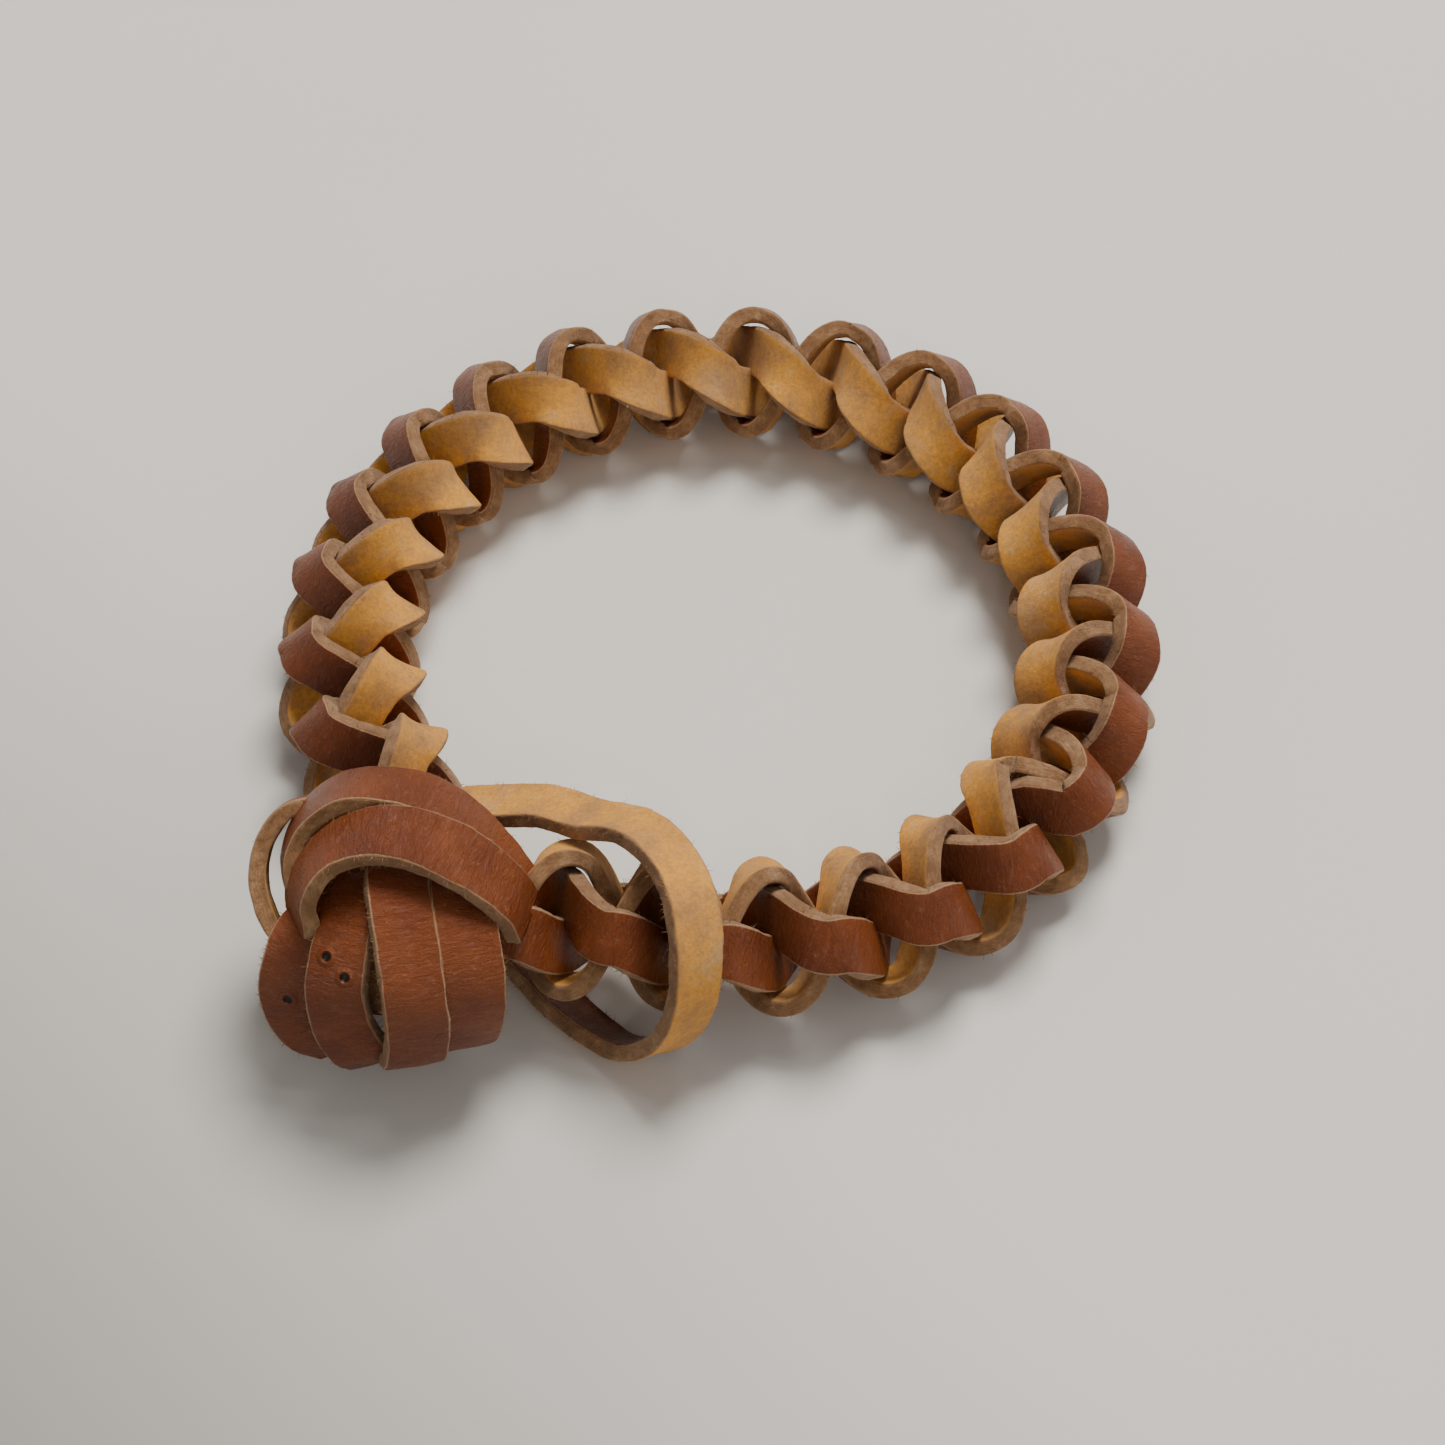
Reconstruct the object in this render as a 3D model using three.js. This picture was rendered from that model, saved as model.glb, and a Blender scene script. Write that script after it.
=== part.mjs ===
// Braided leather wristband: four flat straps in a round braid, a button knot at one end
// and a leather loop at the other. Millimetres, +Z up, resting on z = 0, centred on its extent.
import * as THREE from 'three';

const STRAP_W = 3.7;        // strap width
const STRAP_T = 1.28;       // strap thickness
const RING_R = 33.2;        // radius of the braid's centre line
const RISE = 0.7;           // braid's underside above the lowest point of the loop
const NECK = 184;           // braid leaves the circle here
const NECK_LEN = 15.5;      // straight run from the circle to the knot
const TURNOVER = 118;       // here the crossings change hand
const KNOT_W = 4.7;         // width of a strap in the knot; the whole knot grows with it
const KNOT_AT = [-10, -1, 1.1];   // from the neck's end to the knot's centre
const KNOT_LEAN = 37;       // how far the knot's face leans back, degrees
const LOOP_W = 4.4;         // width of the loop strap
const SPLIT_GAP = 0.7;      // clear space where the two halves of the braid part

// What the straps' size decides: how far a strap's centre swings out of the braid's centre,
// the sideways step where two straps pass, the length from one pad to the next, and the
// size of the knot and of the loop round the braid.
const WAVE = STRAP_W + 1.3 * STRAP_T;
const SIDE = (STRAP_W + 0.4) / 2;
const PITCH = 1.57 * WAVE;
const knotSize = Math.max(KNOT_W / 4.7, STRAP_T / 1.28);
const braidSize = (WAVE + STRAP_T / 2) / 6;

const rad = THREE.MathUtils.degToRad;
const v = (x, y, z) => new THREE.Vector3(x, y, z);

// The braid begins just clear of the knot's back and of the loop's root, whichever reaches
// further round the circle; degrees clockwise from the far side.
const ahead = NECK_LEN - KNOT_AT[0] * knotSize;
const aside = RING_R - KNOT_AT[1] * knotSize;
function roundFrom(x, y, gap) {
  const angle = Math.atan2(x - ahead, y - aside) + rad(NECK) - Math.PI;
  return THREE.MathUtils.radToDeg(angle + gap / RING_R);
}
const START = Math.max(roundFrom(1.5 * braidSize, 12.32 * braidSize, 1.75),
  roundFrom(-6.4 * knotSize, 6.6 * knotSize, 0.9));
const arcEnd = RING_R * rad(NECK - START);
const mid = WAVE + STRAP_T / 2 + RISE;

// Point and directions on the braid's centre line, s millimetres from its beginning.
function spine(s) {
  const t = rad(START) + Math.min(s, arcEnd) / RING_R;
  const extra = Math.max(0, s - arcEnd);
  const along = v(Math.cos(t), -Math.sin(t), 0);
  const out = v(Math.sin(t), Math.cos(t), 0);
  const lift = 3.4 * THREE.MathUtils.smoothstep(s, arcEnd - 22, arcEnd + NECK_LEN - 4);
  const p = out.clone().multiplyScalar(RING_R).addScaledVector(along, extra);
  p.z = mid + lift;
  return { p, along, out };
}

// One closed ribbon through stations {p, w, n}: centre, width direction, face direction.
function ribbon(stations, width, thick) {
  const pos = [], idx = [];
  for (const { p, w, n, k = 1 } of stations) {
    for (const [i, j] of [[1, 1], [-1, 1], [-1, -1], [1, -1]]) {
      const q = p.clone().addScaledVector(w, i * width * k / 2).addScaledVector(n, j * thick / 2);
      pos.push(q.x, q.y, q.z);
    }
  }
  const last = stations.length - 1;
  for (let s = 0; s < last; s++) {
    for (let c = 0; c < 4; c++) {
      const a = 4 * s + c, b = 4 * s + (c + 1) % 4;
      idx.push(a, b, b + 4, a, b + 4, a + 4);
    }
  }
  idx.push(0, 2, 1, 0, 3, 2);
  const e = 4 * last;
  idx.push(e, e + 1, e + 2, e, e + 2, e + 3);
  const g = new THREE.BufferGeometry();
  g.setAttribute('position', new THREE.Float32BufferAttribute(pos, 3));
  g.setIndex(idx);
  return g;
}

// Stations along a list of points; the width direction is given for each point.
function stationsOf(points, widths, ks) {
  return points.map((p, i) => {
    const q = points[Math.min(i + 1, points.length - 1)], o = points[Math.max(i - 1, 0)];
    const t = q.clone().sub(o).normalize();
    const w = widths[i].clone().addScaledVector(t, -widths[i].dot(t)).normalize();
    return { p, w, n: t.clone().cross(w).normalize(), k: ks ? ks[i] : 1 };
  });
}

// Sideways step of a strap at phase phi, -1 to 1. Straps of kind 0 cross halfway between
// the pads, straps of kind 1 under them. Past the turnover the crossings are left-handed;
// in the quarter wave where the hand changes the step is made late, to clear the corner.
const turnPad = Math.round(RING_R * rad(TURNOVER - START) / PITCH);
function sideStep(kind, phi) {
  const half = kind === 0 ? 0.5 : 0;
  const n = kind === 0 ? Math.floor(phi / Math.PI) : Math.round(phi / Math.PI);
  const x = phi - (n + half) * Math.PI;
  const sign = (n % 2 ? -1 : 1) * (kind === 0 ? -1 : 1);
  const hand = n + half > turnPad ? -1 : 1;
  const late = n === turnPad && (kind === 0 ? x < 0 : x > 0);
  const size = late ? 1 - THREE.MathUtils.smoothstep(Math.abs(x), 0.27, 0.74) : Math.cos(x);
  return sign * hand * size;
}

// A braid strap. Straps of kind 0 swing between the outer-top and inner-bottom of the
// braid, straps of kind 1 between the inner-top and outer-bottom; phase is 1 or -1.
function strap(kind, phase, from, to) {
  const steps = Math.ceil((to - from) / (PITCH / 8));
  const points = [], widths = [];
  for (let i = 0; i <= steps; i++) {
    const s = from + (to - from) * i / steps;
    const phi = Math.PI * s / PITCH;
    const { p, out } = spine(s);
    const a = out.clone().add(v(0, 0, 1)).multiplyScalar(Math.SQRT1_2);
    const b = v(0, 0, 1).sub(out).multiplyScalar(Math.SQRT1_2);
    const swing = kind === 0 ? Math.cos(phi) : Math.sin(phi);
    const [u, w] = kind === 0 ? [a, b] : [b, a];
    const swell = 0.75 * STRAP_T * Math.exp(-(((phi - (turnPad + 0.25) * Math.PI) / 1.0) ** 2));
    points.push(p.clone().addScaledVector(u, phase * (WAVE + swell) * swing)
      .addScaledVector(w, phase * SIDE * sideStep(kind, phi)));
    widths.push(w);
  }
  return ribbon(stationsOf(points, widths), STRAP_W, STRAP_T);
}

// Smooth curve through a few points, cut into equal steps.
const curve = (list, steps) => new THREE.CatmullRomCurve3(list, false, 'centripetal').getPoints(steps);

// The knot's own frame: x along the neck, u up its face, d out of its face.
const lean = rad(KNOT_LEAN);
function inKnot([x, u, d]) {
  return v(x, u * Math.cos(lean) - d * Math.sin(lean), u * Math.sin(lean) + d * Math.cos(lean));
}

// A run of strap in the knot: points and width directions are given in the knot's frame,
// for straps 4.7 wide in a braid 12 thick, and grow with the straps.
const total = arcEnd + NECK_LEN;
const knotAt = v(...KNOT_AT).multiplyScalar(knotSize).add(spine(total).p);
function turn(points, widths, width = KNOT_W, size = knotSize) {
  const steps = 6 * (points.length - 1);
  const line = curve(points.map((q) => inKnot(q).multiplyScalar(size).add(knotAt)), steps);
  const side = curve(widths.map((q) => inKnot(q)), steps);
  return ribbon(stationsOf(line, side), width, STRAP_T);
}

const group = new THREE.Group();
const leather = new THREE.MeshStandardMaterial({ color: 0xb5652f, roughness: 0.6 });
function add(name, geometry) {
  geometry.computeVertexNormals();
  const m = new THREE.Mesh(geometry, leather);
  m.name = name;
  group.add(m);
}

const split = RING_R * rad(-START);
for (const [name, kind, phase] of [['outer_a', 0, 1], ['outer_b', 0, -1],
  ['inner_a', 1, 1], ['inner_b', 1, -1]]) {
  add(`strap_${name}_left`, strap(kind, phase, 0, split - SPLIT_GAP / 2));
  add(`strap_${name}_right`, strap(kind, phase, split + SPLIT_GAP / 2, total));
}

// Two caps over the top of the knot, left to right.
add('knot_cap_rear', turn([[-6.5, 2.4, 2.4], [-6.9, 5.7, 2.8], [-5.5, 9, 3.1], [-2.5, 11, 3.7],
  [1, 11.2, 4.0], [4.4, 10.2, 3.8], [7.2, 8, 3], [9.4, 5.4, 1.8]],
[[-0.2, 0, -1], [0, 0.75, -0.65], [0.1, 0.75, -0.65]]));
add('knot_cap_front', turn([[-5.6, 1, 6.8], [-4.9, 3.6, 8], [-2.8, 5.9, 8.8], [0, 7, 9.2],
  [3.2, 7.1, 9.5], [6.2, 6.2, 9.6], [9, 4.6, 8.6], [11.4, 2.6, 6.8]],
[[-0.35, 0, -0.95], [-0.1, 0.75, -0.6], [0, 0.85, -0.5], [0.1, 0.8, -0.6]]));

// Two runs down the knot's face, on the neck side.
add('knot_face_mid', turn([[2, 3.4, 7.2], [2.1, 2.2, 9], [2.7, 0.2, 10.4], [3.4, -2.6, 10.9],
  [3.9, -5.8, 10.2], [4, -8.6, 7.8], [3.4, -10.6, 4.2], [2.4, -10.6, -0.4]],
[[1, 0, -0.35], [1, 0, -0.35]]));
add('knot_face_neck', turn([[7.4, 2.4, 5.8], [7.6, 0.8, 7.3], [8, -1, 8.1], [8.4, -3.2, 8.2],
  [8.5, -5.6, 7.3], [8.1, -8, 4.9], [7.1, -9.2, 1.7]], [[1, 0, -0.5], [1, 0, -0.5]]));

// Two runs down the far side of the face, with awl holes in the leather.
add('knot_side_mid', turn([[-1.7, 2.6, 6], [-1.9, 1, 7.2], [-2.2, -2, 8.1], [-2.5, -5, 7.7],
  [-2.3, -8, 5.8], [-1.3, -10.4, 2.8]], [[1, 0, 0.3], [1, 0, 0.3]]));
add('knot_side_far', turn([[-5.6, 0.6, 4.3], [-6.1, -0.8, 4.6], [-6.7, -2.6, 4.4], [-7.1, -4.8, 3.6],
  [-6.8, -7.2, 2.2], [-5.4, -9.2, 0]], [[0.8, 0.3, 0.5], [0.8, 0.2, 0.5]]));

// The turn that stands on edge at the knot's far end.
add('knot_end_turn', turn([[-8.4, 8.2, 0.6], [-9.4, 6.2, 0.8], [-9.9, 3.8, 1], [-9.5, 1.6, 1.4],
  [-8.8, -0.2, 1.8]], [[0.1, 0, 1], [0.1, 0, 1]]));

// Two runs across the knot's back.
add('knot_back_top', turn([[-6.4, 6, -3], [-2.4, 7.6, -4.2], [2.4, 7.2, -4.2], [6.4, 4.8, -3.2]],
  [[0, 0.6, 0.8], [0, 0.6, 0.8]]));
add('knot_back_low', turn([[-6.2, 1, -5.6], [-2.4, 1.8, -7], [2.4, 1.4, -7], [6.2, -0.2, -5.6]],
  [[0, 0.9, 0.4], [0, 0.9, 0.4]]));

// Inner turns drawn up tight.
const core = new THREE.SphereGeometry(1, 20, 12);
core.scale(6.6 * knotSize, 5.8 * knotSize, 5.4 * knotSize);
core.translate(knotAt.x, knotAt.y, knotAt.z);
add('knot_core', core);

// The closure loop: a band that leaves the braid's end, runs behind the neck, over it and
// back underneath, where it lies flat and carries the weight.
const band = turn([[1.5, 7.5, -10.5], [5.4, 8.7, -9], [9.6, 9, -7], [13.2, 9, -5], [17.2, 8, -2],
  [20.9, 7.5, 1.6], [23.9, 5.2, 5.2], [25.6, 1.6, 7.5], [26, -2.8, 7.3], [25.4, -7.3, 4.4],
  [23.1, -10.4, -0.2], [19.6, -11, -4], [14.4, -7.6, -7.6], [9.8, -2.2, -11.6], [6, 3.2, -15.7]],
[[0, 0.35, -0.94], [0, 0.35, -0.94], [0.3, 0.6, -0.75], [0.85, 0, -0.5], [0.8, 0, -0.6],
  [0.35, 0.1, -0.9], [0.6, 0.6, -0.5], [0.6, 0.64, -0.48]], LOOP_W, braidSize);
const corner = band.getAttribute('position');
band.computeBoundingBox();
const rest = band.boundingBox.min.z + 0.4;      // its underside is pressed flat up to here
for (let i = 0; i < corner.count; i++) corner.setZ(i, Math.max(rest, corner.getZ(i)));
band.computeBoundingBox();
add('closure_loop', band);

// The origin goes under the middle of the whole.
const extent = new THREE.Box3().setFromObject(group);
const middle = extent.getCenter(v(0, 0, 0));
group.position.set(-middle.x, -middle.y, -extent.min.z);

export default group;
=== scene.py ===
"""Braided leather bracelet: four flat straps in a round braid, a button knot and a leather loop."""
import math
import random
import bmesh
import bpy
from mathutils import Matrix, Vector, noise


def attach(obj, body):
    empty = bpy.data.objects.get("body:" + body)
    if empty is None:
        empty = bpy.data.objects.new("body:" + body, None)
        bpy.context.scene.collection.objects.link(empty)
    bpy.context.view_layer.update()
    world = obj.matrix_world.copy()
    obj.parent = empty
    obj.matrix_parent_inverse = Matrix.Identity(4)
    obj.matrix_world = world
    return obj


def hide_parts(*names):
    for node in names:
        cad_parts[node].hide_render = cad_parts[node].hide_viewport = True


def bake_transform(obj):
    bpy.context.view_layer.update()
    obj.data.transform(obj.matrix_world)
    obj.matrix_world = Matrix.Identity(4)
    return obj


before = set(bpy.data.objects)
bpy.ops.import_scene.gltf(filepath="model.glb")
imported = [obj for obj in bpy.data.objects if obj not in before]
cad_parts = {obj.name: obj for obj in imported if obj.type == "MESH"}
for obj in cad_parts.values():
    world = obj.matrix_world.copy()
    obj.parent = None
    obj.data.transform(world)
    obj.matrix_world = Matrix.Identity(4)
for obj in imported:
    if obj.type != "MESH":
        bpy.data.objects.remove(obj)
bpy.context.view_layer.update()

# ---------------------------------------------------------------------------------------
# Camera: looks down on the bracelet from the closure's side, at 53 degrees.
MM = 0.001
SHIFT = Vector((0.009, 3.331, -0.113))    # from the braid circle's centre to the frame's origin, mm
ELEVATION = math.radians(53)
DISTANCE = 0.253                          # metres from the camera to the point it looks at
aim = (Vector((0.3, -8.9, 5.8)) + SHIFT) * MM
away = Vector((0.0, -math.cos(ELEVATION), math.sin(ELEVATION)))
camera_data = bpy.data.cameras.new("camera")
camera_data.lens = 71.2
camera_data.sensor_width = 36.0
camera_data.clip_start = 0.01
camera = bpy.data.objects.new("camera", camera_data)
camera.location = aim + away * DISTANCE
camera.rotation_euler = (math.radians(90) - ELEVATION, 0.0, 0.0)
bpy.context.scene.collection.objects.link(camera)
bpy.context.scene.camera = camera

# ---------------------------------------------------------------------------------------
# Leather: three finishes for one strip. The grain side is glossy tan with fine creases, the
# flesh side is golden suede, and the cut edge is brown and fibrous.


def leather(name, build):
    """A node material; build(nodes, links, shader) wires its own inputs."""
    m = bpy.data.materials.new(name)
    m.use_nodes = True
    build(m.node_tree.nodes, m.node_tree.links, m.node_tree.nodes["Principled BSDF"])
    return m


def pattern(nodes, links, source, scale, stretch=(1, 1, 1), detail=6, rough=0.6, distort=0.0):
    """Noise over a coordinate, stretched along its axes; returns the factor socket."""
    place = nodes.new("ShaderNodeMapping")
    place.inputs["Scale"].default_value = stretch
    links.new(source, place.inputs["Vector"])
    n = nodes.new("ShaderNodeTexNoise")
    n.inputs["Scale"].default_value = scale
    n.inputs["Detail"].default_value = detail
    n.inputs["Roughness"].default_value = rough
    n.inputs["Distortion"].default_value = distort
    links.new(place.outputs["Vector"], n.inputs["Vector"])
    return n.outputs["Fac"]


def ramp(nodes, links, factor, stops):
    """Colour ramp through (position, colour) stops; returns the colour socket."""
    r = nodes.new("ShaderNodeValToRGB")
    while len(r.color_ramp.elements) < len(stops):
        r.color_ramp.elements.new(0.5)
    for e, (at, colour) in zip(r.color_ramp.elements, stops):
        e.position = at
        e.color = (*colour, 1.0)
    links.new(factor, r.inputs["Fac"])
    return r.outputs["Color"]


def mixed(nodes, links, factor, a, b, how="MIX"):
    """Mix of two colour sockets or values by a factor socket or number."""
    m = nodes.new("ShaderNodeMix")
    m.data_type = "RGBA"
    m.blend_type = how
    for socket, value in ((m.inputs["Factor"], factor), (m.inputs["A"], a), (m.inputs["B"], b)):
        if socket.type == "VALUE" and socket.is_unavailable:
            continue
        if hasattr(value, "is_output"):
            links.new(value, socket)
        else:
            socket.default_value = value
    return m.outputs["Result"]


def bumps(nodes, links, shader, heights):
    """Chain of bump nodes from (height socket, strength, distance) to the shader's normal."""
    last = None
    for height, strength, distance in heights:
        b = nodes.new("ShaderNodeBump")
        b.inputs["Strength"].default_value = strength
        b.inputs["Distance"].default_value = distance
        links.new(height, b.inputs["Height"])
        if last:
            links.new(last, b.inputs["Normal"])
        last = b.outputs["Normal"]
    links.new(last, shader.inputs["Normal"])


def uv_of(nodes):
    """The strip's own coordinates: x millimetres along, y millimetres across."""
    u = nodes.new("ShaderNodeUVMap")
    u.uv_map = "strip"
    return u.outputs["UV"]


def object_space(nodes):
    return nodes.new("ShaderNodeTexCoord").outputs["Object"]


def worn(nodes):
    """The 'wear' attribute of the strip: 0 in the middle of a face, 1 at its cut edges."""
    a = nodes.new("ShaderNodeAttribute")
    a.attribute_name = "wear"
    return a.outputs["Fac"]


def build_grain(nodes, links, shader):
    uv, space = uv_of(nodes), object_space(nodes)
    tone = pattern(nodes, links, space, 130, detail=5)
    base = ramp(nodes, links, tone, [(0.3, (0.115, 0.021, 0.003)), (0.52, (0.175, 0.039, 0.006)),
                                     (0.75, (0.24, 0.060, 0.012))])
    creases = pattern(nodes, links, uv, 1.0, (2.4, 0.55, 1), detail=8, rough=0.7, distort=1.2)
    scuff = pattern(nodes, links, space, 900, detail=8, rough=0.75)
    # painted highlight: the crests of the crease pattern are whitened and added faintly to the colour as
    # glints along the creases
    light = ramp(nodes, links, creases, [(0.56, (0, 0, 0)), (0.66, (1, 1, 1))])
    edge = ramp(nodes, links, worn(nodes), [(0.72, (0, 0, 0)), (0.97, (1, 1, 1))])
    rim = mixed(nodes, links, edge, base, (0.42, 0.25, 0.14, 1))
    dry = mixed(nodes, links, ramp(nodes, links, scuff, [(0.60, (0, 0, 0)), (0.72, (0.35,) * 3)]),
                rim, (0.52, 0.27, 0.13, 1))
    links.new(mixed(nodes, links, 0.03, dry, light, "ADD"), shader.inputs["Base Color"])
    rough = ramp(nodes, links, creases, [(0.35, (0.22,) * 3), (0.7, (0.46,) * 3)])
    wrinkles = pattern(nodes, links, uv, 1.0, (5.5, 3.0, 1), detail=5, rough=0.6, distort=0.8)
    links.new(rough, shader.inputs["Roughness"])
    shader.inputs["Specular IOR Level"].default_value = 0.32
    bumps(nodes, links, shader, [(creases, 0.9, 0.0003), (wrinkles, 0.7, 0.00014), (scuff, 0.3, 0.00006)])


def build_flesh(nodes, links, shader):
    space = object_space(nodes)
    patch = pattern(nodes, links, space, 210, detail=6, rough=0.65)
    base = ramp(nodes, links, patch, [(0.30, (0.36, 0.19, 0.085)), (0.45, (0.56, 0.27, 0.075)),
                                      (0.57, (0.72, 0.33, 0.055)), (0.72, (0.58, 0.36, 0.17))])
    nap = pattern(nodes, links, space, 2600, detail=6, rough=0.8)
    dark = ramp(nodes, links, nap, [(0.32, (0.66,) * 3), (0.62, (1.04,) * 3)])
    bare = pattern(nodes, links, space, 120, detail=7, rough=0.7, distort=0.4)
    pale = mixed(nodes, links, ramp(nodes, links, bare, [(0.54, (0, 0, 0)), (0.68, (0.4,) * 3)]),
                 base, (0.46, 0.31, 0.19, 1))
    body = mixed(nodes, links, 1.0, pale, dark, "MULTIPLY")
    edge = ramp(nodes, links, worn(nodes), [(0.6, (0, 0, 0)), (0.98, (0.75,) * 3)])
    links.new(mixed(nodes, links, edge, body, (0.30, 0.155, 0.07, 1)), shader.inputs["Base Color"])
    shader.inputs["Roughness"].default_value = 0.88
    shader.inputs["Specular IOR Level"].default_value = 0.22
    shader.inputs["Sheen Weight"].default_value = 0.12
    shader.inputs["Sheen Roughness"].default_value = 0.5
    shader.inputs["Sheen Tint"].default_value = (1.0, 0.85, 0.65, 1)
    fine = pattern(nodes, links, space, 900, detail=8, rough=0.8)
    bumps(nodes, links, shader, [(fine, 0.6, 0.00025), (nap, 0.7, 0.00012)])


def build_edge(nodes, links, shader):
    uv, space = uv_of(nodes), object_space(nodes)
    layer = pattern(nodes, links, space, 500, detail=7, rough=0.75)
    base = ramp(nodes, links, layer, [(0.30, (0.16, 0.075, 0.032)), (0.50, (0.29, 0.145, 0.062)),
                                      (0.68, (0.43, 0.25, 0.125)), (0.80, (0.55, 0.38, 0.22))])
    fuzz = pattern(nodes, links, uv, 1.0, (1.6, 9.0, 1), detail=8, rough=0.8, distort=0.6)
    shade = ramp(nodes, links, fuzz, [(0.35, (0.62,) * 3), (0.65, (1.12,) * 3)])
    links.new(mixed(nodes, links, 1.0, base, shade, "MULTIPLY"), shader.inputs["Base Color"])
    shader.inputs["Roughness"].default_value = 0.92
    shader.inputs["Specular IOR Level"].default_value = 0.15
    shader.inputs["Sheen Weight"].default_value = 0.3
    shader.inputs["Sheen Tint"].default_value = (1.0, 0.85, 0.7, 1)
    bumps(nodes, links, shader, [(layer, 0.8, 0.00035), (fuzz, 0.7, 0.0002)])


GRAIN = leather("leather_grain", build_grain)
FLESH = leather("leather_flesh", build_flesh)
EDGE = leather("leather_edge", build_edge)

# ---------------------------------------------------------------------------------------
# Braid: four flat straps, each one long strip. It is plaited leather, held by its own
# crossings.
STRAP_W, STRAP_T = 4.7, 1.5
RING_R, PITCH, WAVE, SIDE = 33.2, 8.42, 5.36, 2.05
START, NECK, NECK_LEN, TURNOVER = -125.3, 184.0, 15.5, 118.0
ARC_END = RING_R * math.radians(NECK - START)
TOTAL = ARC_END + NECK_LEN
MIDDLE = 6.70                             # height of the braid's centre line
NECK_RISE = 3.4                           # the braid climbs this much to the knot
TURN_PAD = round(RING_R * math.radians(TURNOVER - START) / PITCH)
UP = Vector((0, 0, 1))
FLAT = 1.15                               # how flat a pad lies before it dives
SWELL = 0.96                              # the braid is this much fatter at the turnover
STEP = 0.35                               # between the points of a braid strap
SHOULDER = 0.26                           # radius of a strip's long corners
CUP = 0.10                                # how far the grain side bulges in its middle
SKIN = 0.10                               # depth of the grain and flesh finishes at a corner
FLOOR_GAP = 0.03                          # the leather keeps this far above the paper
FIBRE_TALL, FIBRE_THIN = (0.15, 0.5), 0.035


def smooth(x, a, b):
    t = min(max((x - a) / (b - a), 0.0), 1.0)
    return t * t * (3 - 2 * t)


def spine(s):
    """Centre, tangent and outward direction of the braid s millimetres from its start."""
    t = math.radians(START) + min(s, ARC_END) / RING_R
    along = Vector((math.cos(t), -math.sin(t), 0))
    out = Vector((math.sin(t), math.cos(t), 0))
    p = out * RING_R + along * max(0.0, s - ARC_END)
    p.z = MIDDLE + NECK_RISE * smooth(s, ARC_END - 22, ARC_END + NECK_LEN - 4)
    return p, along, out


def side_step(kind, phi):
    """Sideways step of a strap at phase phi; the crossings change hand at the turnover."""
    half = 0.5 if kind == 0 else 0.0
    n = math.floor(phi / math.pi) if kind == 0 else round(phi / math.pi)
    x = phi - (n + half) * math.pi
    sign = (-1 if n % 2 else 1) * (-1 if kind == 0 else 1)
    hand = -1 if n + half > TURN_PAD else 1
    late = n == TURN_PAD and (x < 0 if kind == 0 else x > 0)
    clock = START + math.degrees(phi / math.pi * PITCH / RING_R)
    if kind == 0:                         # grain pads lie almost along the braid
        lean = 2.3 if hand < 0 else 1.9 - 0.6 * smooth(clock, -80, -20) + 0.5 * smooth(clock, 20, 70)
        step = max(math.cos(x), 0) ** lean
    else:                                 # flesh pads cross it, most steeply on the left
        flat = 1.45 - 1.1 * smooth(clock, -80, 30)
        step = math.sin(flat * math.cos(x)) / math.sin(flat)
    return sign * hand * (1 - smooth(abs(x), 0.27, 0.74) if late else step)


def braid_path(kind, phase, start, end):
    """Points and width directions of one strap of the braid, in millimetres."""
    count = math.ceil((end - start) / STEP)
    points, sides = [], []
    for i in range(count + 1):
        s = start + (end - start) * i / count
        phi = math.pi * s / PITCH
        p, _, out = spine(s)
        a, b = (out + UP) * math.sqrt(0.5), (UP - out) * math.sqrt(0.5)
        swing = math.cos(phi) if kind == 0 else math.sin(phi)
        swing = math.sin(FLAT * swing) / math.sin(FLAT)
        u, w = (a, b) if kind == 0 else (b, a)
        swell = SWELL * math.exp(-(phi - (TURN_PAD + 0.25) * math.pi) ** 2)
        points.append(p + u * (phase * (WAVE + swell) * swing)
                      + w * (phase * SIDE * side_step(kind, phi)))
        sides.append(w)
    return points, sides


def lint(bm, rings, section, half, dice):
    """Short loose fibres standing out of the cut edges of a strip."""
    edges = [k for k, (x, _) in enumerate(section) if abs(x) > half - 0.05]
    for _ in range(int(len(rings) * 2.2)):
        i, k = dice.randrange(len(rings) - 1), dice.choice(edges)
        root = rings[i][k][0].co
        middle = (rings[i][0][0].co + rings[i][len(section) // 2][0].co) / 2
        out = (root - middle).normalized()
        along = (rings[i + 1][k][0].co - root).normalized()
        sway = along * dice.uniform(-1.0, 1.0) + out.cross(along) * dice.uniform(-0.7, 0.7)
        tall, thin = dice.uniform(*FIBRE_TALL) * MM, FIBRE_THIN * MM
        last = [bm.verts.new(root - out * 0.05 * MM - along * thin),
                bm.verts.new(root - out * 0.05 * MM + along * thin)]
        for step in (0.5, 1.0):
            tip = root + (out + sway * step) * tall * step
            width = along * thin * (1 - 0.8 * step)
            tip.z = max(tip.z, 0.05 * MM)
            new = [bm.verts.new(tip - width), bm.verts.new(tip + width)]
            f = bm.faces.new((last[0], last[1], new[1], new[0]))
            f.material_index = 2
            last = new


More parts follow.
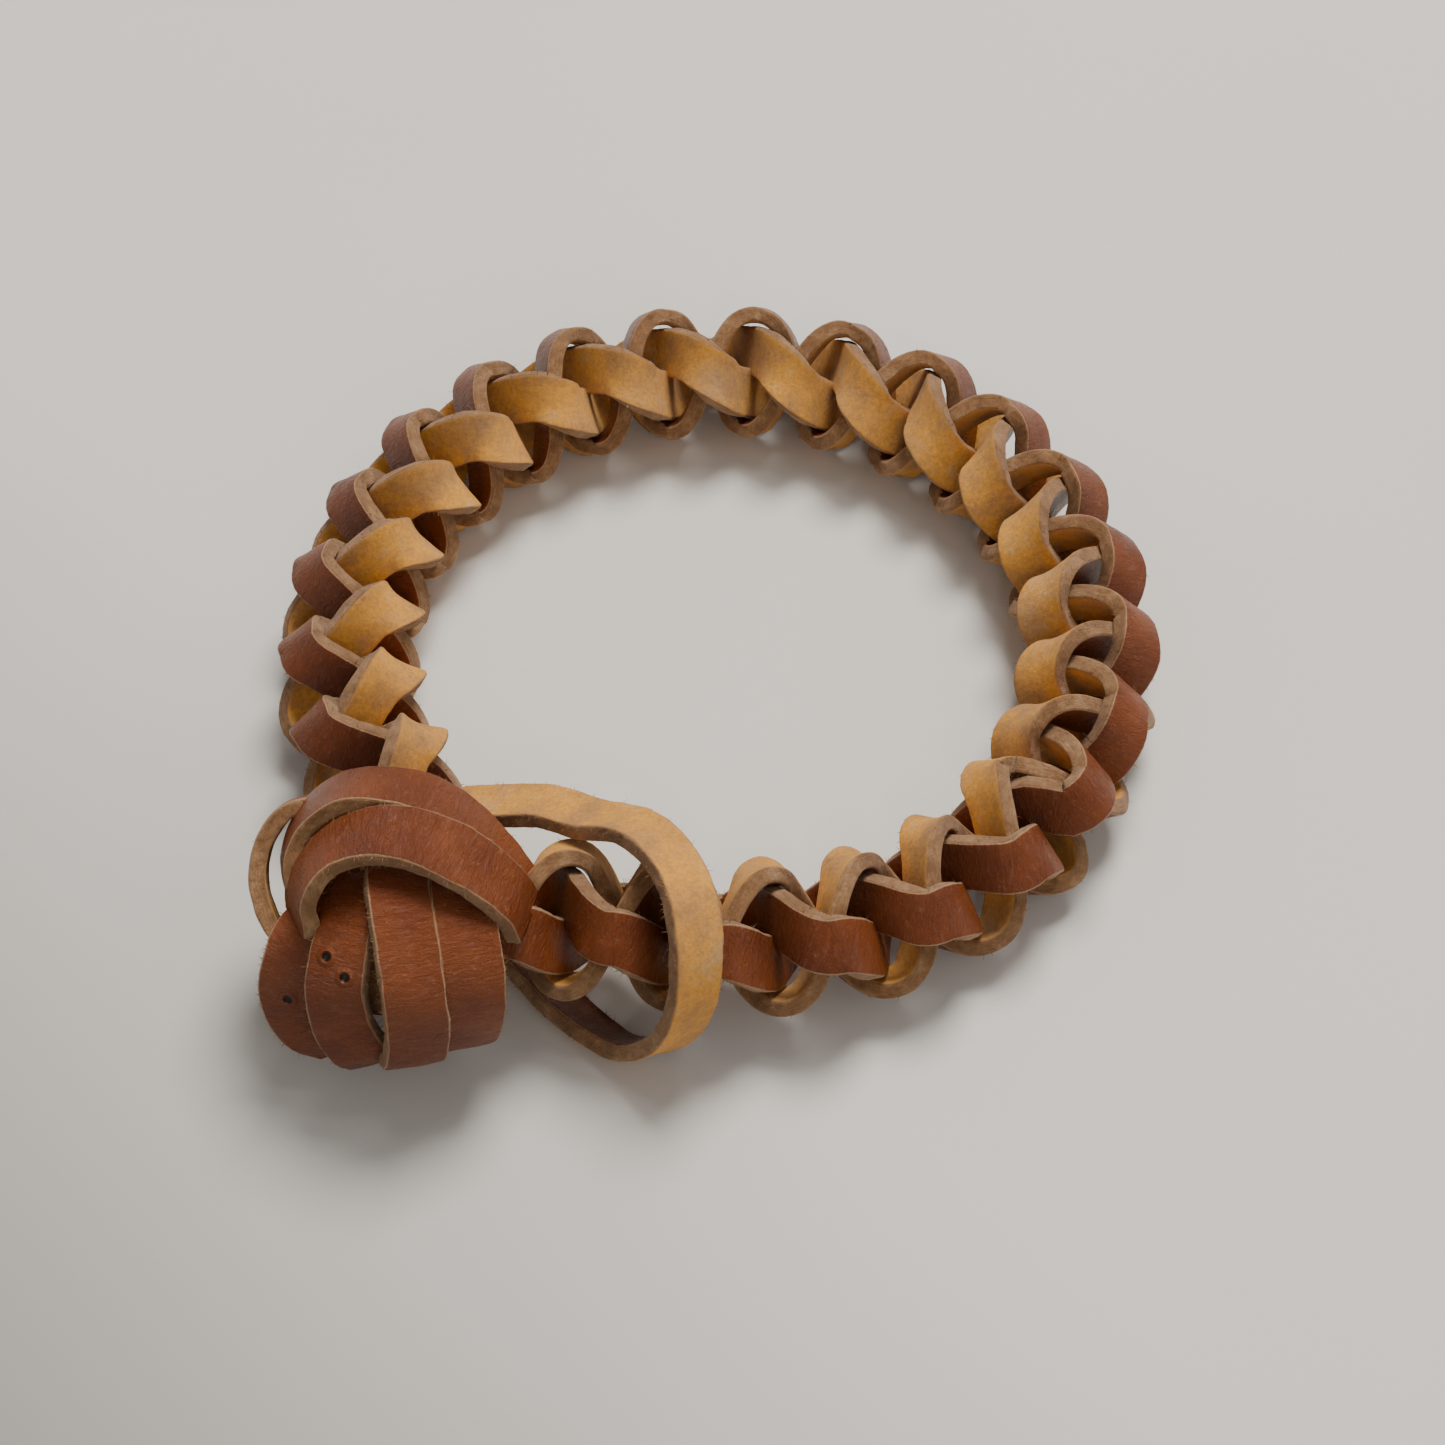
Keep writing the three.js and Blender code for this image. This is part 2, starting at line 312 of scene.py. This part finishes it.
def strip(name, points, sides, width, thick, seed, grain_low=True):
    """A strip of leather: a rounded rectangle swept along points, with soft shoulders, a
    slightly uneven cut and the 'strip' UV in millimetres. The grain is on its -n side when
    grain_low is set, else on its +n side."""
    section = []                          # (across, height) round the strip
    half, rise, r = width / 2, thick / 2, SHOULDER
    across = [-half + r + (width - 2 * r) * k / 10 for k in range(11)]
    for x in reversed(across):
        section.append((x, rise))
    for k in range(1, 4):
        angle = math.radians(90 + 90 * k / 4)
        section.append((-half + r + r * math.cos(angle), rise - r + r * math.sin(angle)))
    for k in range(5):
        section.append((-half, (rise - r) * (1 - k / 2)))
    for k in range(1, 4):
        angle = math.radians(180 + 90 * k / 4)
        section.append((-half + r + r * math.cos(angle), -rise + r + r * math.sin(angle)))
    for x in across:
        section.append((x, -rise))
    for k in range(1, 4):
        angle = math.radians(270 + 90 * k / 4)
        section.append((half - r + r * math.cos(angle), -rise + r + r * math.sin(angle)))
    for k in range(5):
        section.append((half, (-rise + r) * (1 - k / 2)))
    for k in range(1, 4):
        angle = math.radians(90 * k / 4)
        section.append((half - r + r * math.cos(angle), rise - r + r * math.sin(angle)))
    bm = bmesh.new()
    uv = bm.loops.layers.uv.new("strip")
    wear = bm.verts.layers.float.new("wear")
    rings, travelled = [], 0.0
    for i, p in enumerate(points):
        ahead, behind = points[min(i + 1, len(points) - 1)], points[max(i - 1, 0)]
        t = (ahead - behind).normalized()
        w = (sides[i] - t * sides[i].dot(t)).normalized()
        n = t.cross(w).normalized()
        if i:
            travelled += (p - points[i - 1]).length
        ring = []
        for x, h in section:
            rag = Vector((travelled * 0.55, x * 0.2 + seed * 7.3, h))
            cut = 0.12 * noise.noise(rag) + 0.05 * noise.noise(rag * 5.0)
            face = 0.05 * noise.noise(Vector((travelled * 0.9, x * 0.8, seed * 3.1 + h)))
            fibre = 0.035 * noise.noise(Vector((travelled * 6.0, h * 8.0, seed + x)))
            edge = smooth(abs(x), half - 0.5, half - 0.05)
            grow = 1 + (cut + fibre) * edge / half
            cup = CUP * (1 - (x / half) ** 2) * (1 if grain_low else -1)
            q = p + w * (x * grow) + n * (h - cup + face)
            q += SHIFT
            q.z = max(q.z, FLOOR_GAP)
            v = bm.verts.new(q * MM)
            v[wear] = edge if abs(h) > rise - r else 1.0
            ring.append((v, x + h * 0.7, travelled))
        rings.append(ring)
    count = len(section)
    for i in range(len(rings) - 1):
        for k in range(count):
            m = (k + 1) % count
            quad = [rings[i][k], rings[i][m], rings[i + 1][m], rings[i + 1][k]]
            f = bm.faces.new([q[0] for q in quad])
            h = (section[k][1] + section[m][1]) / 2
            low = h < -rise + SKIN
            high = h > rise - SKIN
            f.material_index = 2 if not (low or high) else (0 if low == grain_low else 1)
            f.smooth = True
            for loop, q in zip(f.loops, quad):
                loop[uv].uv = (q[2], q[1])
    for ring in (list(reversed(rings[0])), rings[-1]):
        f = bm.faces.new([q[0] for q in ring])
        f.material_index = 2
    bmesh.ops.recalc_face_normals(bm, faces=bm.faces)
    lint(bm, rings, section, half, random.Random(seed))
    mesh = bpy.data.meshes.new(name)
    bm.to_mesh(mesh)
    bm.free()
    for m in (GRAIN, FLESH, EDGE):
        mesh.materials.append(m)
    piece = bpy.data.objects.new(name, mesh)
    bpy.context.scene.collection.objects.link(piece)
    return piece


for index, (label, kind, phase) in enumerate((("outer_a", 0, 1), ("outer_b", 0, -1),
                                              ("inner_a", 1, 1), ("inner_b", 1, -1))):
    strap = strip("strap_" + label, *braid_path(kind, phase, 0.0, TOTAL), STRAP_W, STRAP_T, index)
    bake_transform(strap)
    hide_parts(f"strap_{label}_left", f"strap_{label}_right")

# ---------------------------------------------------------------------------------------
# Knot: turns of the same leather drawn into a ball at the neck's end, each one over its
# neighbour; it turns a little about the neck.
KNOT = Vector((-27.8, -33.0, 11.2))
LEAN = math.radians(37)
KNOT_W, KNOT_T = 5.0, 1.4
TURN_STEPS = 90


def in_knot(q):
    x, u, d = q
    return Vector((x, u * math.cos(LEAN) - d * math.sin(LEAN),
                   u * math.sin(LEAN) + d * math.cos(LEAN)))


def curve(points, count):
    """Smooth curve through the points, cut into count equal steps (centripetal)."""
    pts = [points[0] * 2 - points[1]] + list(points) + [points[-1] * 2 - points[-2]]
    fine = []
    for i in range(1, len(pts) - 2):
        p0, p1, p2, p3 = pts[i - 1:i + 3]
        t0 = 0.0
        t1 = t0 + max((p1 - p0).length ** 0.5, 1e-4)
        t2 = t1 + max((p2 - p1).length ** 0.5, 1e-4)
        t3 = t2 + max((p3 - p2).length ** 0.5, 1e-4)
        for k in range(24):
            t = t1 + (t2 - t1) * k / 24
            a1 = p0 * ((t1 - t) / (t1 - t0)) + p1 * ((t - t0) / (t1 - t0))
            a2 = p1 * ((t2 - t) / (t2 - t1)) + p2 * ((t - t1) / (t2 - t1))
            a3 = p2 * ((t3 - t) / (t3 - t2)) + p3 * ((t - t2) / (t3 - t2))
            b1 = a1 * ((t2 - t) / (t2 - t0)) + a2 * ((t - t0) / (t2 - t0))
            b2 = a2 * ((t3 - t) / (t3 - t1)) + a3 * ((t - t1) / (t3 - t1))
            fine.append(b1 * ((t2 - t) / (t2 - t1)) + b2 * ((t - t1) / (t2 - t1)))
    fine.append(pts[-2])
    length = [0.0]
    for a, b in zip(fine, fine[1:]):
        length.append(length[-1] + (b - a).length)
    out, j = [], 0
    for i in range(count + 1):
        want = length[-1] * i / count
        while j < len(fine) - 2 and length[j + 1] < want:
            j += 1
        share = (want - length[j]) / max(length[j + 1] - length[j], 1e-9)
        out.append(fine[j].lerp(fine[j + 1], min(max(share, 0), 1)))
    return out


def knot_turn(name, points, sides, seed, width):
    """A run of strap in the knot, given in the knot's frame: x along the neck, up, outward."""
    line = [KNOT + q for q in curve([in_knot(q) for q in points], TURN_STEPS)]
    side = curve([in_knot(q) for q in sides], TURN_STEPS)
    piece = strip(name, line, side, width, KNOT_T, seed, name.startswith("knot_back"))
    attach(piece, "knot")
    return piece


TURNS = {
    "knot_cap_rear": ([(-6.3, 1.6, 2.8), (-6.8, 5, 3.2), (-5.4, 8.2, 3.6), (-2.5, 10.3, 4.6),
                       (1, 10.6, 5), (4.4, 9.8, 4.8), (7.4, 7.8, 4), (9.8, 5, 3), (11.8, 2, 2.4)],
                      [(-0.2, 0, -1), (0, 0.75, -0.65), (0.1, 0.75, -0.65)]),
    "knot_cap_front": ([(-5.4, 0.2, 6), (-5.2, 2.6, 7.4), (-3.4, 5.4, 8.6), (0, 7, 9.2),
                        (3.2, 7, 9.5), (6.2, 6, 9.4), (9, 4.2, 8.2), (11.2, 2, 6.2), (12, 0.4, 4.2)],
                       [(-0.4, 0, -0.95), (-0.1, 0.85, -0.5), (0, 0.95, -0.35), (0.1, 0.9, -0.5),
                        (0.3, 0.6, -0.7)]),
    "knot_face_mid": ([(2.3, 4.6, 6.6), (2.4, 2.8, 8.6), (2.9, 0.6, 10), (3.5, -2.6, 10.6),
                       (3.9, -5.8, 10), (3.9, -8.8, 7.6), (3.2, -10.9, 4), (2.2, -10.8, -0.6)],
                      [(1, -0.05, -0.3), (1, 0, -0.35), (1, 0.15, -0.35)]),
    "knot_face_neck": ([(7.1, 3.8, 5.2), (7.3, 1.8, 7.2), (7.8, -0.6, 8.4), (8.2, -3.2, 8.6),
                        (8.3, -5.8, 7.6), (7.8, -8.4, 5), (6.8, -9.8, 1.6), (6, -9.2, -1.4)],
                       [(1, 0, -0.45), (1, 0, -0.45), (1, 0.15, -0.45)]),
    "knot_side_mid": ([(-0.4, 3.6, 6.2), (-1, 1.4, 7.7), (-1.9, -2, 8.7), (-2.4, -5, 8.2),
                       (-2.2, -8, 6.2), (-1.2, -10.4, 3.2), (-0.4, -11.2, 0)],
                      [(1, 0.25, 0.3), (1, 0.1, 0.3), (1, 0.3, 0.2)]),
    "knot_side_far": ([(-3.4, 2.2, 5), (-4.6, 0.2, 6.2), (-5.8, -2.2, 6), (-6.6, -4.8, 4.8),
                       (-6.4, -7.4, 3), (-5, -9.6, 0.8), (-3.4, -10.4, -1.4)],
                      [(0.9, 0.4, 0.35), (0.95, 0.25, 0.35), (0.95, 0.3, 0.3)]),
    "knot_end_turn": ([(-5.4, 9.4, -1), (-7.6, 8.6, 0), (-9.1, 6.6, 0.6), (-9.7, 4, 1),
                       (-9.3, 1.6, 1.6), (-8.2, -0.6, 2.2), (-6.4, -2.2, 2.6)],
                      [(0.1, 0, 1), (0.1, 0, 1)]),
    "knot_back_top": ([(-7.0, 2.8, -0.4), (-6.8, 5.6, -2.6), (-2.4, 7.6, -4.4), (2.4, 7.2, -4.4),
                       (6.6, 4.6, -3.2), (7.0, 1.8, -1.2)], [(0, 0.6, 0.8), (0, 0.6, 0.8)]),
    "knot_back_low": ([(-6.4, -1.8, -2.4), (-6.6, 1, -5.4), (-2.4, 1.8, -7.2), (2.4, 1.4, -7.2),
                       (6.6, -0.4, -5.4), (6.4, -3.2, -2.6)], [(0, 0.9, 0.4), (0, 0.9, 0.4)]),
}
# Places of the awl holes, along the neck and up the face, and the turn that each is in.
AWL = {"knot_side_mid": ((-3.25, -1.95), (-1.95, -4.4)), "knot_side_far": ((-7.15, -6.6),)}
HOLES = []                                # filled below, in metres


def build_pierced(nodes, links, shader):
    """The grain leather with awl holes: small dimples round the points in HOLES, darkened in the middle
    with painted shade and ringed lighter.
    """
    build_grain(nodes, links, shader)
    space, near = object_space(nodes), None
    for hole in HOLES:
        d = nodes.new("ShaderNodeVectorMath")
        d.operation = "DISTANCE"
        d.inputs[1].default_value = hole
        links.new(space, d.inputs[0])
        if near:
            least = nodes.new("ShaderNodeMath")
            least.operation = "MINIMUM"
            links.new(near, least.inputs[0])
            links.new(d.outputs["Value"], least.inputs[1])
            near = least.outputs[0]
        else:
            near = d.outputs["Value"]
    scaled = nodes.new("ShaderNodeMath")                # to millimetres
    scaled.operation = "MULTIPLY"
    scaled.inputs[1].default_value = 1 / MM
    links.new(near, scaled.inputs[0])
    # painted shade: each pit is darkened to near black, with a lighter ring round it
    shade = ramp(nodes, links, scaled.outputs[0], [(0.30, (0.03,) * 3), (0.46, (1.35,) * 3),
                                                     (0.75, (1.0,) * 3)])
    skin = shader.inputs["Base Color"].links[0].from_socket
    links.new(mixed(nodes, links, 1.0, skin, shade, "MULTIPLY"), shader.inputs["Base Color"])
    dent = nodes.new("ShaderNodeBump")
    dent.inputs["Strength"].default_value = 1.0
    dent.inputs["Distance"].default_value = 0.0005
    pit = ramp(nodes, links, scaled.outputs[0], [(0.2, (0, 0, 0)), (0.5, (1, 1, 1)), (0.9, (0.6,) * 3)])
    links.new(pit, dent.inputs["Height"])
    links.new(shader.inputs["Normal"].links[0].from_socket, dent.inputs["Normal"])
    links.new(dent.outputs["Normal"], shader.inputs["Normal"])


WIDE = {"knot_cap_rear": 5.8, "knot_cap_front": 5.2, "knot_face_mid": 5.1, "knot_face_neck": 5.3,
        "knot_back_top": 5.6, "knot_back_low": 6.2}
for index, (label, (points, sides)) in enumerate(TURNS.items()):
    piece = knot_turn(label + "_leather", points, sides, 10 + index, WIDE.get(label, KNOT_W))
    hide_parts(label)
    for x, u in AWL.get(label, ()):
        near = []
        for v in piece.data.vertices:
            q = v.co / MM - SHIFT - KNOT
            across = Vector((q.x - x, q.y * math.cos(LEAN) + q.z * math.sin(LEAN) - u))
            if across.length < 0.6:
                near.append((q.z * math.cos(LEAN) - q.y * math.sin(LEAN), v.co.copy()))
        HOLES.append(max(near, key=lambda item: item[0])[1])
PIERCED = leather("leather_pierced", build_pierced)
for label in AWL:
    bpy.data.objects[label + "_leather"].data.materials[0] = PIERCED

# Inner turns: the strap ends crammed inside, seen only through the gaps.
bm = bmesh.new()
bmesh.ops.create_icosphere(bm, subdivisions=5, radius=1.0)
for v in bm.verts:
    q = Vector((v.co.x * 7.6, v.co.y * 7.4, v.co.z * 7.0))
    q *= 1 + 0.07 * noise.noise(q * 0.45) + 0.02 * noise.noise(q * 2.2)
    v.co = (KNOT + in_knot(q + Vector((0.6, -0.6, 0))) + SHIFT) * MM
for f in bm.faces:
    f.smooth = True
mesh = bpy.data.meshes.new("knot_core_leather")
bm.to_mesh(mesh)
bm.free()
mesh.materials.append(EDGE)
core = bpy.data.objects.new("knot_core_leather", mesh)
bpy.context.scene.collection.objects.link(core)
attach(core, "knot")
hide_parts("knot_core")

# ---------------------------------------------------------------------------------------
# Closure loop: one strip, flesh side outwards. It leaves the braid's end, goes round the neck
# behind the knot and swings a little about its root.
LOOP = [(-0.1, 9.6, -12.9), (1.5, 7.5, -10.5), (5.4, 8.7, -9), (9.6, 9, -7), (13.2, 9, -5),
        (17.2, 8, -2),
        (20.9, 7.5, 1.6), (23.9, 5.2, 5.2), (25.6, 1.6, 7.5), (26, -2.8, 7.3), (25.4, -7.3, 4.4),
        (23.1, -10.4, -0.2), (19.6, -11, -4), (14.4, -7.6, -7.45), (9.8, -2.2, -11.45),
        (6, 3.2, -15.55)]
LOOP_SIDE = [(0, 0.35, -0.94), (0, 0.35, -0.94), (0, 0.35, -0.94), (0.3, 0.6, -0.75),
             (0.85, 0, -0.5), (0.8, 0, -0.6),
             (0.35, 0.1, -0.9), (0.6, 0.6, -0.5), (0.6, 0.64, -0.48)]
LOOP_W, LOOP_T, LOOP_STEPS, LOOP_SEED = 4.5, 1.45, 240, 30
loop = strip("closure_loop_leather",
             [KNOT + q for q in curve([in_knot(q) for q in LOOP], LOOP_STEPS)],
             curve([in_knot(q) for q in LOOP_SIDE], LOOP_STEPS), LOOP_W, LOOP_T, LOOP_SEED)
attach(loop, "loop")
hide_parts("closure_loop")

# ---------------------------------------------------------------------------------------
# Floor: a sheet of pale paper, and soft light from above and behind.


def build_paper(nodes, links, shader):
    space = object_space(nodes)
    cloud = pattern(nodes, links, space, 5, detail=3)
    paper = ramp(nodes, links, cloud, [(0.3, (0.64, 0.615, 0.575)), (0.7, (0.70, 0.68, 0.64))])
    corner = nodes.new("ShaderNodeVectorMath")          # painted shadow: the paper is darker towards the lower left
    corner.operation = "DOT_PRODUCT"
    corner.inputs[1].default_value = (-0.7, -0.7, 0)
    links.new(space, corner.inputs[0])
    # painted shadow: the paper colour falls off towards the lower left corner
    painted_corner_shadow = ramp(nodes, links, corner.outputs["Value"], [(0.02, (1, 1, 1)), (0.055, (0.80,) * 3),
                                                        (0.10, (0.42, 0.41, 0.41))])
    links.new(mixed(nodes, links, 1.0, paper, painted_corner_shadow, "MULTIPLY"), shader.inputs["Base Color"])
    shader.inputs["Roughness"].default_value = 0.95
    shader.inputs["Specular IOR Level"].default_value = 0.1
    tooth = pattern(nodes, links, space, 700, detail=5)
    bumps(nodes, links, shader, [(tooth, 0.15, 0.0002)])


bpy.ops.mesh.primitive_plane_add(size=3.0, location=(0, 0, 0))
floor = bpy.context.active_object
floor.name = "floor"
floor.data.materials.append(leather("paper", build_paper))


def area_light(name, place, target, size, power, colour):
    data = bpy.data.lights.new(name, "AREA")
    data.shape, data.size, data.energy, data.color = "DISK", size, power, colour
    lamp = bpy.data.objects.new(name, data)
    lamp.location = place
    lamp.rotation_euler = (Vector(target) - Vector(place)).to_track_quat("-Z", "Y").to_euler()
    bpy.context.scene.collection.objects.link(lamp)


area_light("key", (0.2, 0.4, 0.9), (0, 0, 0), 0.45, 12.5, (1.0, 0.965, 0.92))
area_light("glint", (0.06, -0.8, 0.72), (0, -0.03, 0), 0.08, 0.6, (1.0, 0.97, 0.93))
area_light("fill", (0.5, -0.6, 0.7), (0, 0, 0), 0.9, 1.2, (1.0, 0.95, 0.9))
pool = bpy.data.lights.new("pool", "SPOT")              # brighter towards the far right
pool.energy, pool.color, pool.shadow_soft_size = 6.0, (1.0, 0.965, 0.92), 0.12
pool.spot_size, pool.spot_blend = math.radians(21), 1.0
lamp = bpy.data.objects.new("pool", pool)
lamp.location = (0.05, 0.13, 0.9)
lamp.rotation_euler = (Vector((0.03, 0.05, 0)) - lamp.location).to_track_quat("-Z", "Y").to_euler()
bpy.context.scene.collection.objects.link(lamp)
world = bpy.data.worlds.new("world")
world.use_nodes = True
world.node_tree.nodes["Background"].inputs["Color"].default_value = (1.0, 0.97, 0.94, 1)
world.node_tree.nodes["Background"].inputs["Strength"].default_value = 0.35
bpy.context.scene.world = world
